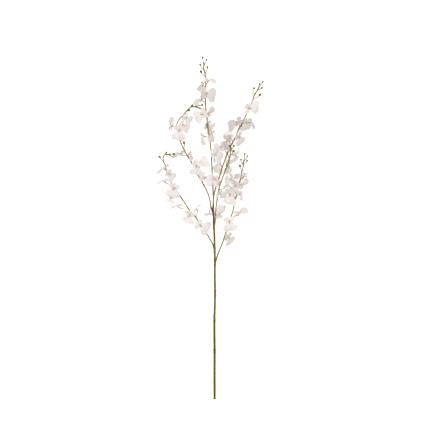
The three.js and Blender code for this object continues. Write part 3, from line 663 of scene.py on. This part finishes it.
def stem_finish(look):
    """Skin of the stem: olive with darker streaks along it, golden down its right side as painted
    light from that side, with fine ribs, pale lenticels and a reddish joint at the top."""
    s = Surface("stem_skin", look.olive)
    streaks = s.noise(1.0, 4.0, s.place(9.0, 55.0), 0.6)
    ribs = (s.u * 22.0 + s.noise(1.0, 1.0, s.place(2.0, 30.0)) * 1.5).stripes()
    specks = s.noise(1.0, 2.0, s.place(34.0, 420.0)).between(0.66, 0.74)
    worn = s.noise(16.0, 3.0)
    s.tint(streaks.between(0.38, 0.68), look.bronze)
    s.tint(worn.between(0.45, 0.75) * 0.45, look.lime)
    # Painted light: the side of the stem that faces +X is painted lighter gold, as if lit from there.
    s.tint((s.mark("sun") * (worn * 0.6 + 0.35)).held(), look.gold)
    s.tint(s.mark("ring") * 0.7, look.bronze)
    s.tint(specks * 0.55, look.gold)
    s.tint(s.mark("blush"), look.blush)
    return s.finish(streaks * 0.2 + 0.5, ribs * 0.5 + streaks * 0.6 - specks * 0.4, 0.00022,
                    {"Specular IOR Level": 0.2})


def branch_finish(look):
    """Skin of the branches and stalks: golden brown to yellow green, greener towards the tip, with
    fine lengthwise streaks and darker roots."""
    s = Surface("branch_skin", look.gold)
    streaks = s.noise(1.0, 4.0, s.place(6.0, 110.0), 0.6)
    ribs = (s.u * 12.0 + streaks).stripes()
    patches = s.noise(38.0, 3.0)
    green = (s.mark("green") * 1.1 + patches * 0.9 - 0.5).held()
    s.tint(green, look.lime)
    s.tint(streaks.between(0.45, 0.72) * 0.6, look.olive)
    s.tint(s.mark("root") * 0.8, look.olive)
    s.tint(s.mark("blush"), look.blush)
    return s.finish(streaks * 0.2 + 0.5, ribs * 0.4 + streaks * 0.6, 0.00012,
                    {"Specular IOR Level": 0.2})


def paper_finish(look):
    """Dry sheath and bract: tan paper with lengthwise fibres, browner at its tip."""
    s = Surface("bract_paper", look.paper)
    fibres = (s.u * 16.0 + s.noise(1.0, 2.0, s.place(2.0, 6.0)) * 0.8).stripes()
    stain = s.noise(300.0, 3.0)
    s.tint(fibres * 0.35, look.olive)
    s.tint(((s.v - 0.45) * 1.3 + stain * 0.5).held() * 0.75, look.bronze)
    return s.finish(0.6 + stain * 0.2, fibres * 0.7 + stain * 0.5, 0.00012)


def pith_finish(look):
    """Cut face: pale pith with rings of darker fibre bundles and a browned rim."""
    s = Surface("cut_pith", look.pith)
    from_axis = s.mark("ring")
    bundles = s.noise(2600.0, 1.0).between(0.56, 0.66)
    s.tint(bundles * 0.6, look.olive)
    s.tint(from_axis.between(0.72, 0.98), look.bronze)
    return s.finish(0.75 - bundles * 0.2, bundles, 0.0001)


def bud_finish(look):
    """Skin of the buds: dark olive, greener on green branches, russet towards the tip, with the
    darker seams of the folded sepals."""
    s = Surface("bud_skin", look.olive)
    cloud = s.noise(420.0, 3.0)
    s.tint((s.mark("green") * 0.9 + cloud * 0.5 - 0.3).held(), look.lime)
    russet = s.mark("russet")
    sunned = ((s.v - 0.5) * 1.4 + cloud * 0.9 + russet - 0.7).held() * russet
    s.tint(sunned, look.russet)
    s.tint(s.mark("seam") * 0.6, SEAM)
    roughness = cloud * 0.2 + 0.42
    height = cloud + s.noise(1.0, 2.0, s.place(9.0, 1.5)) * 0.6
    return s.finish(roughness, height, 0.00014, {"Specular IOR Level": 0.25})


# ---- blooms


def bloom_axes(facing, lift, lip):
    """The rows right, up and front of a bloom that looks at facing and lift, lip pointing to lip."""
    f, e, d = map(math.radians, (facing, lift, lip))
    front = np.array([math.cos(f) * math.cos(e), math.sin(f) * math.cos(e), math.sin(e)])
    down = np.array([math.cos(d), math.sin(d), 0.0])
    down = unit(down - front * down.dot(front))
    return np.array([np.cross(-down, front), -down, front])


def blade(plan, lean, size, look, seed, waves=BLADE_WAVES):
    """A petal, sepal or lip as a grid over t, root to tip, and s, edge to edge.

    Out along the blade: distance(t) - t^4 (notch (1 - |s|) + tip s^2), so that the end is round or
    cleft in two. Across: s width(t). Lift: middle(t) + (edge(t) - middle(t)) s^2, plus pleats
    cos(pi k s) sin(pi t), plus waves round the margin that die away inwards.
    """
    rows, degrees, counts, notch, tip, ruffle = plan
    phase = np.random.default_rng(seed).uniform(0, 2 * np.pi, 4)
    rows = np.array(rows, float)
    start, end = rows[[0, -1], 0]
    t = np.linspace(0, 1, counts[0])[:, None]
    s = np.linspace(-1, 1, counts[1])[None, :]
    reach = start + (end - start) * t
    width, middle, edge = np.moveaxis(flow(reach, rows[:, 0], rows[:, 1:]), -1, 0)
    out = reach - t**4 * (notch * (1 - np.sqrt(s * s + 0.012)) + tip * s * s)
    across = s * width
    from_edge = np.minimum((1 - np.abs(s)) * width, (1 - t) * (end - start))
    around = np.arctan2(across, out - end * 0.55)
    wave = np.sin(waves * around + phase[0]) + 0.45 * np.sin(1.7 * waves * around + phase[1])
    fade = np.exp(-from_edge / MARGIN_REACH) * np.clip((reach - 4) / 7, 0, 1)
    pleats = np.cos(np.pi * PLEATS * s + 0.6 * np.sin(phase[2]))
    pleats = pleats * np.sin(np.pi * t) * np.clip(width / 6, 0, 1)
    sway = 0.35 * np.sin(np.pi * t + phase[3]) * t
    lift = (middle + (edge - middle) * s * s + ruffle * look.ruffle / MM * wave * fade
            + look.pleat / MM * pleats + sway * ruffle)
    angle = math.radians(degrees + lean)
    x = out * math.cos(angle) - across * math.sin(angle)
    y = out * math.sin(angle) + across * math.cos(angle)
    heart = bell(np.hypot(x, y), 0, HEART_REACH)
    rim = np.exp(-from_edge / RIM_REACH)
    return thin_sheet(side_by_side(x, y, lift) * size, side_by_side(s * 0.5 + 0.5, t),
                      look.thickness / MM, heart=heart, rim=rim)


def bloom_shapes(size, look, seed):
    """One bloom in its own axes: lip, two petals, top sepal, two side sepals, neck, column with its
    ears, and the warts at the root of the lip."""
    leans = np.random.default_rng(seed).uniform(-BLADE_LEAN, BLADE_LEAN, len(BLADES))
    leans[0] = 0  # the lip's
    shapes = [blade(plan, leans[n], size, look, seed + 1 + n, BLADE_WAVES if n else look.ruffle_waves)
              for n, plan in enumerate(BLADES)]
    up = np.linspace(0, 1, 12)
    neck = side_by_side(0, 0, -COLUMN_BACK + up * (COLUMN_BACK + 1.2)) * size
    neck_radius = flow(up, [0, 0.3, 0.6, 0.85, 1], [0.95, 1.15, 1.5, 2.0, 0.9]) * size
    column = side_by_side(0, 1.1 * up**2, 0.2 + 4.2 * up) * size
    column_radius = flow(up, [0, 0.35, 0.7, 0.88, 1], [1.35, 1.0, 1.15, 1.05, 0.25]) * size
    shapes.append(tube(neck, neck_radius, COLUMN_SIDES, 1))
    shapes.append(tube(column, column_radius, COLUMN_SIDES, 1))
    for hand in (-1, 1):
        wing = blade(EAR, -EAR_TURN * hand, size, look, seed + 9)
        shapes.append({**wing, "points": wing["points"] + np.array([0, 0.5, 3.0]) * size, "finish": 1})
    bow = np.linspace(0.06, 0.94, 7) * np.pi
    for x, y, z, r in WARTS:
        axis = side_by_side(0, 0, -np.cos(bow)) * r * size + np.array([x, y, z]) * size
        shapes.append(tube(axis, np.sin(bow) * r * size, WART_SIDES, 2))
    return shapes


def bloom_places():
    """Every bloom's branch, number from 0, size, axes and column centre. A resting bloom's centre is
    as high as its lip reaches down, and REST_HEIGHT more."""
    places = []
    for key, branch in BRANCHES.items():
        for i, (x, y, z, facing, lift, lip, size) in enumerate(branch["blooms"]):
            turn = bloom_axes(facing, lift, lip)
            centre = np.array([x, y, z or 0.0], float) + turn[1] * BLOOM_MIDDLE * size
            if z is RESTS:
                lip_end = np.array(LIP_ROWS[-2:])
                corners = np.array([[hand * w, -r, e] for r, w, _, e in lip_end for hand in (-1, 1)])
                centre[2] = -(corners * size @ turn)[:, 2].min() + REST_HEIGHT
            places.append((key, i, size, turn, centre))
    return places


def build_blooms(look):
    """All blooms, each one piece that stands for its node. A bloom is painted duskier the further aside
    it looks, as painted shade, and more or less by its listed shift. Blades that meet the surface lie
    on it: below LIES_BELOW a height becomes LIES_AT + fall exp((height - LIES_BELOW) / fall), fall
    being LIES_BELOW - LIES_AT."""
    finishes = [petal_finish(look), column_finish(look), callus_finish(look)]
    fall = LIES_BELOW - LIES_AT
    for number, (key, i, size, turn, centre) in enumerate(bloom_places()):
        name = f"{key}_{i + 1}"
        shapes = [placed(s, turn, centre) for s in bloom_shapes(size, look, 100 * number + 7)]
        # Painted shade: the further a bloom looks aside from straight up, the duskier it is painted.
        aside = np.clip((0.85 - abs(turn[2][2])) / 0.75, 0, 1)
        shade_and_tone = 0.3 * aside**2 + sum(shift for shift, names in BLOOM_DUSK_SHIFTS.items() if name in names)
        shade_and_tone += 0.1 * np.random.default_rng(number).random()
        for n, s in enumerate(shapes):
            s["marks"] = {**s["marks"], "shade_and_tone": np.full(len(s["points"]), shade_and_tone + 0.12 * (n > 0))}
            low = s["points"][:, 2]
            lain = LIES_AT + fall * np.exp((low - LIES_BELOW) / fall)
            s["points"][:, 2] = np.where(low < LIES_BELOW, lain, low)
        make_piece(f"flower_{name}", shapes, finishes, [f"bloom_{name}"])


# ---- stems


def stem_point(y):
    """The main stem's axis at distances y along it: x by a smooth curve through its way, z a power
    curve that starts where the stem stops lying flat."""
    along, across = zip(*STEM_WAY)
    climb = np.maximum(0, y - STEM_REST) / (along[-1] - STEM_REST)
    return np.stack([flow(y, along, across), y, STEM_AXIS + STEM_RISE * climb**STEM_RISE_POWER], -1)


def stem_radius(y, look):
    """The main stem's radius at distances y: an even taper, plus a bell at each joint, less a
    narrow bell just above it for a fine groove."""
    joints = np.array(JOINTS)[:, None]
    taper = np.clip((y - STEM_REST) / (STEM_WAY[-1][0] - STEM_REST), 0, 1)
    swell = bell(y, joints, JOINT_REACH).max(axis=0)
    groove = bell(y, joints + GROOVE_ABOVE, GROOVE_REACH).max(axis=0)
    return ((look.cut_radius + (look.top_radius - look.cut_radius) * taper) / MM
            + look.joint_swell / MM * swell - GROOVE_DEPTH * groove)


def build_stem(look):
    """The main stem with its cut face, and the dry sheath that clasps it at each joint. Round the
    stem its radius is times 1 + 0.012 cos(9 angle + 0.02 y), for faint ribs, and near its top also
    times sqrt(1 - u^2), u being the share of the shoulder that lies below. Its sun mark is how
    much the skin looks along +X, and it paints that side lighter gold as painted light from there."""
    end = STEM_WAY[-1][0]
    joints = np.array(JOINTS)[:, None]
    y = np.r_[np.linspace(0, end, 280), (joints + np.linspace(-8, 8, 33)).ravel()]
    y = np.unique(np.round(y, 3))
    path = stem_point(y)
    angle = angles(STEM_SIDES)
    ribs = 1 + 0.012 * np.cos(9 * angle + 0.02 * y[:, None])
    past = (y - (end - SHOULDER)) / SHOULDER
    radius = stem_radius(y, look) * np.where(past > 0, np.sqrt(np.clip(1 - past**2, 0.02, 1)), 1)
    _, side, over = turns_of(path)
    # Painted light: how much the skin faces +X, which the stem's finish paints lighter gold as if lit.
    painted_lit_side = np.cos(angle) * side[:, :1] + np.sin(angle) * over[:, :1]
    marks = {"blush": bell(y, BLUSH_AT, BLUSH_REACH),
             "ring": bell(y, joints + GROOVE_ABOVE, 1.0).max(axis=0), "sun": np.clip(painted_lit_side, 0, 1)}
    body = tube(path, radius[:, None] * ribs, STEM_SIDES, 0, marks, MM)
    from_axis = np.linspace(0.02, 1, 9)
    face = side_by_side(path[0, 0], -0.05 - 0.25 * (1 - from_axis**2), STEM_AXIS)
    cut = tube(face, from_axis * radius[0] * 0.985, STEM_SIDES, 1, {"ring": from_axis})
    make_piece("scape", [body, cut], [stem_finish(look), pith_finish(look)], ["main_stem"])
    sheaths = [sheath(joint, SHEATH_TURN * n, look) for n, joint in enumerate(JOINTS)]
    make_piece("sheaths", sheaths, [paper_finish(look)])


def sheath(joint, turn, look):
    """A pointed sheath round a joint: at angle a from its point its length is times 0.34 + 0.66
    cos(a/2)^6, and it stands off the stem by a little that grows towards its end."""
    v = np.linspace(0, 1, 13)[:, None]
    a = np.linspace(-0.86 * np.pi, 0.86 * np.pi, 29)[None, :]
    long = look.sheath_length / MM * (0.34 + 0.66 * np.cos(a / 2) ** 6)
    y = joint + SHEATH_ABOVE + v * long
    radius = stem_radius(y.ravel(), look).reshape(y.shape) + 0.16 + 0.55 * v**3
    around = (a + math.radians(turn))[..., None]
    _, side, over = turns_of(stem_point(np.linspace(joint, joint + 16, 5)))
    grid = stem_point(y) + radius[..., None] * (np.cos(around) * side[0] + np.sin(around) * over[0])
    places = side_by_side(a / (2 * np.pi) + 0.5, v)
    return thin_sheet(grid[:, ::-1], places[:, ::-1], SHEATH_THICKNESS)


def stalk_root(path, along, point, slant):
    """Where on a branch the stalk to a point starts: slant times the point's distance nearer to
    the branch's root than the nearest place on it. Gives the distance along, place and direction."""
    away = np.linalg.norm(path - point, axis=1)
    nearest = away.argmin()
    start = max(along[nearest] - away[nearest] * slant, NEAREST_STALK)
    i = min(np.searchsorted(along, start), len(path) - 2)
    return start, path[i], unit(path[i + 1] - path[i - 1])


def bend_between(root, end, leave, arrive, count=22):
    """A cubic curve from root to end that leaves and arrives in the given directions."""
    reach = np.linalg.norm(end - root) * STALK_BEND
    t = np.linspace(0, 1, count)[:, None]
    return ((1 - t) ** 3 * root + 3 * t * (1 - t) ** 2 * (root + leave * reach)
            + 3 * t * t * (1 - t) * (end - arrive * reach) + t**3 * end)


def bract(root, along, outward, radius, look):
    """A small pointed scale under a stalk: part of a tube round the branch that narrows to its tip
    and stands off by 0.08 + 0.75 v^2, v being the share of its length."""
    v = np.linspace(0, 1, 6)[:, None, None]
    a = (np.linspace(-1.25, 1.25, 7)[None, :] * (1 - v[..., 0] ** 1.6 * 0.93))[..., None]
    outward = unit(outward - along * outward.dot(along))
    side = np.cross(along, outward)
    away = radius + 0.08 + 0.75 * v**2
    grid = (root - along * 1.2 + along * v * look.bract_length / MM
            + away * (np.cos(a) * outward + np.sin(a) * side))
    return thin_sheet(grid, side_by_side(a[..., 0] / 2.5 + 0.5, v[..., 0]), BRACT_THICKNESS, 1)


def bud_stalks(branch, path, along):
    """For each bud how far along the branch its stalk starts, where, and the branch's direction
    there, then the bud's neck, axis and length."""
    found = []
    for x, y, z, length in branch["buds"]:
        middle = np.array([x, y, z], float)
        start, root, ahead = stalk_root(path, along, middle, BUD_SLANT)
        axis = unit(unit(middle - root) + ahead * BUD_LEAN)
        found.append((start, root, ahead, middle - axis * length / 2, axis, length))
    return found


def bloom_stalk(line, green, look):
    """A bloom's stalk: a little wider at its root, and widening into a grooved ovary at its end."""
    t = np.linspace(0, 1, len(line))
    ovary = np.clip((t - 0.35) / 0.65, 0, 1) ** 1.5
    radius = look.stalk / MM * (1 + 0.35 * bell(t, 0, 0.08) + 0.85 * ovary)
    grooves = 1 - 0.06 * np.clip((t - 0.4) / 0.6, 0, 1)[:, None] * np.cos(6 * angles(STALK_SIDES))
    marks = {"green": green + 0.25 * t, "root": 0.7 * bell(t, 0, 0.1)}
    return tube(line, radius[:, None] * grooves, STALK_SIDES, 0, marks, MM)


def bud_stalk(line, green, look):
    """A bud's stalk, a little wider at both ends."""
    t = np.linspace(0, 1, len(line))
    radius = look.stalk / MM * (1.25 + 0.3 * bell(t, 0, 0.12) + 0.3 * bell(t, 1, 0.2))
    marks = {"green": green + 0.2 * t, "root": 0.3 * bell(t, 0, 0.1)}
    return tube(line, radius, BUD_STALK_SIDES, 0, marks, MM)


def build_branches(look):
    """Each branch in one piece: its axis, swollen at every stalk, the stalks of its blooms and buds,
    and a bract under each stalk."""
    finishes = [branch_finish(look), paper_finish(look)]
    for key, branch in BRANCHES.items():
        green = branch["green"]
        path, along = path_through(branch["way"], BRANCH_STEP)
        shapes, starts = [], []
        for _, _, size, turn, centre in [p for p in bloom_places() if p[0] == key]:
            back = centre - turn[2] * COLUMN_BACK * size
            start, root, ahead = stalk_root(path, along, back, STALK_SLANT)
            end = centre - turn[2] * (COLUMN_BACK - STALK_OVERLAP) * size
            line = bend_between(root, end, ahead, turn[2])
            shapes.append(bloom_stalk(line, green, look))
            starts.append((start, root, ahead, line[6] - root))
        for start, root, ahead, neck, axis, _ in bud_stalks(branch, path, along):
            leave = unit(ahead * 0.4 + unit(neck - root))
            line = bend_between(root, neck + axis * 0.5, leave, axis, 16)
            shapes.append(bud_stalk(line, green, look))
            starts.append((start, root, ahead, line[5] - root))
        share = along / along[-1]
        knots = bell(along, np.array([s[0] for s in starts])[:, None], KNOT_REACH).max(axis=0)
        radius = (look.branch_root + (look.branch_tip - look.branch_root) * share**2) / MM
        radius += KNOT_SWELL * knots
        radius += 0.5 * bell(along, 0, 7.0) - 0.7 * bell(along, along[-1], 5.0)
        marks = {"green": green * (0.4 + 0.6 * share),
                 "root": np.maximum(bell(along, 0, 20.0), knots * (0.5 - 0.4 * share)),
                 "blush": bell(along, 0, 16.0) * (key == "top")}
        shapes.append(tube(path, radius, BRANCH_SIDES, 0, marks, MM))
        for start, root, ahead, outward in starts:
            thick = float(np.interp(start, along, radius))
            shapes.append(bract(root, ahead, outward, thick, look))
        make_piece(f"rachis_{key}", shapes, finishes, [f"branch_{key}"])


def build_buds(look):
    """The closed buds, one piece for each branch. At v along bud number n its radius is its length
    times a smooth ovoid profile, times 1 - ridge |cos(1.5 angle + n)|^14 sin(pi v) for the seams of
    its folded sepals."""
    finishes = [bud_finish(look)]
    v = np.linspace(0, 1, BUD_RINGS)
    for key, branch in BRANCHES.items():
        path, along = path_through(branch["way"], BRANCH_STEP)
        shapes = []
        for n, (_, _, _, neck, axis, length) in enumerate(bud_stalks(branch, path, along)):
            line = neck + axis * (v * length)[:, None]
            profile = flow(v, BUD_ALONG, BUD_RADII) * length
            seam = np.abs(np.cos(1.5 * angles(BUD_SIDES) + n)) ** 14 * np.sin(np.pi * v)[:, None]
            russet = BUD_SUN[n % len(BUD_SUN)] * (1.1 - branch["green"])
            marks = {"green": v * 0 + branch["green"], "seam": seam, "russet": v * 0 + russet}
            shapes.append(tube(line, profile[:, None] * (1 - look.ridge * seam), BUD_SIDES, 0, marks,
                               1 / length))
        make_piece(f"buds_{key}", shapes, finishes)


# ---- stage


def build_stage(look):
    """A pale floor, a wide soft light from above, light all round, and the camera straight above,
    whose picture is the field's width across."""
    half = look.floor_size / 2
    mesh = bpy.data.meshes.new("floor")
    corners = [(-half, -half, 0), (half, -half, 0), (half, half, 0), (-half, half, 0)]
    mesh.from_pydata(corners, [], [(0, 1, 2, 3)])
    floor = bpy.data.objects.new("floor", mesh)
    bpy.context.scene.collection.objects.link(floor)
    s = Surface("floor_pale", look.floor)
    grain = s.noise(900.0)
    s.tint(grain * 0.04, FLOOR_GRAIN)
    mesh.materials.append(s.finish(0.9, grain, 0.00002,
                                   {"Emission Color": (1.0, 1.0, 1.0, 1.0),
                                    "Emission Strength": look.glow, "Specular IOR Level": 0.0}))

    sun = bpy.data.lights.new("key", "SUN")
    sun.energy = look.key
    sun.angle = math.radians(KEY_SPREAD)
    key = bpy.data.objects.new("key", sun)
    key.rotation_euler = (math.radians(KEY_TILT[0]), math.radians(KEY_TILT[1]), 0)
    bpy.context.scene.collection.objects.link(key)

    world = bpy.data.worlds.new("sky")
    world.use_nodes = True
    background = world.node_tree.nodes["Background"]
    background.inputs[0].default_value = (1.0, 1.0, 1.0, 1.0)
    background.inputs[1].default_value = look.fill
    bpy.context.scene.world = world

    lens = bpy.data.cameras.new("camera")
    lens.type = "PERSP"
    lens.lens = look.lens
    lens.sensor_width = SENSOR_WIDTH
    distance = look.field * look.lens / lens.sensor_width
    lens.clip_start, lens.clip_end = 0.05, distance * 20
    camera = bpy.data.objects.new("camera", lens)
    camera.location = PLAN_ZERO + np.array(FIELD_CENTRE) * MM + np.array([0, 0, distance])
    bpy.context.scene.collection.objects.link(camera)
    bpy.context.scene.camera = camera
    bpy.context.scene.view_settings.view_transform = "Standard"


# ---- operators, panel and run


class ORCHID_OT_stem(bpy.types.Operator):
    """Build the main stem and its sheaths"""

    bl_idname = "orchid.stem"
    bl_label = "Main stem"

    def execute(self, context):
        build_stem(context.scene.orchid_stem)
        return {"FINISHED"}


class ORCHID_OT_branches(bpy.types.Operator):
    """Build the branches with their stalks and bracts"""

    bl_idname = "orchid.branches"
    bl_label = "Branches"

    def execute(self, context):
        build_branches(context.scene.orchid_stem)
        return {"FINISHED"}


class ORCHID_OT_buds(bpy.types.Operator):
    """Build the closed buds"""

    bl_idname = "orchid.buds"
    bl_label = "Buds"

    def execute(self, context):
        build_buds(context.scene.orchid_buds)
        return {"FINISHED"}


class ORCHID_OT_blooms(bpy.types.Operator):
    """Build the blooms"""

    bl_idname = "orchid.blooms"
    bl_label = "Blooms"

    def execute(self, context):
        build_blooms(context.scene.orchid_blooms)
        return {"FINISHED"}


class ORCHID_OT_stage(bpy.types.Operator):
    """Build the floor, the lights and the camera"""

    bl_idname = "orchid.stage"
    bl_label = "Stage"

    def execute(self, context):
        build_stage(context.scene.orchid_stage)
        return {"FINISHED"}


class ORCHID_PT_panel(bpy.types.Panel):
    """The settings and the steps of the stem"""

    bl_idname = "ORCHID_PT_panel"
    bl_label = "Oncidium stem"
    bl_space_type = "VIEW_3D"
    bl_region_type = "UI"
    bl_category = "Oncidium"

    def draw(self, context):
        for group, (_, steps) in GROUPS.items():
            box = self.layout.box()
            settings = getattr(context.scene, group)
            for name in settings.__annotations__:
                box.prop(settings, name)
            for step in steps:
                box.operator(step)


# The scene's settings, each with its class and the operators that use it.
GROUPS = {
    "orchid_stem": (StemSettings, ["orchid.stem", "orchid.branches"]),
    "orchid_buds": (BudSettings, ["orchid.buds"]),
    "orchid_blooms": (BloomSettings, ["orchid.blooms"]),
    "orchid_stage": (StageSettings, ["orchid.stage"]),
}
CLASSES = (StemSettings, BudSettings, BloomSettings, StageSettings, ORCHID_OT_stem, ORCHID_OT_branches,
           ORCHID_OT_buds, ORCHID_OT_blooms, ORCHID_OT_stage, ORCHID_PT_panel)


def register():
    for made in CLASSES:
        bpy.utils.register_class(made)
    for name, (group, _) in GROUPS.items():
        setattr(bpy.types.Scene, name, PointerProperty(type=group))


def unregister():
    for name in GROUPS:
        delattr(bpy.types.Scene, name)
    for made in reversed(CLASSES):
        bpy.utils.unregister_class(made)


def main():
    """Builds every piece."""
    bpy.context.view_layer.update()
    register()
    bpy.ops.orchid.stem()
    bpy.ops.orchid.branches()
    bpy.ops.orchid.buds()
    bpy.ops.orchid.blooms()
    bpy.ops.orchid.stage()
    bpy.context.view_layer.update()


if __name__ == "__main__":
    main()
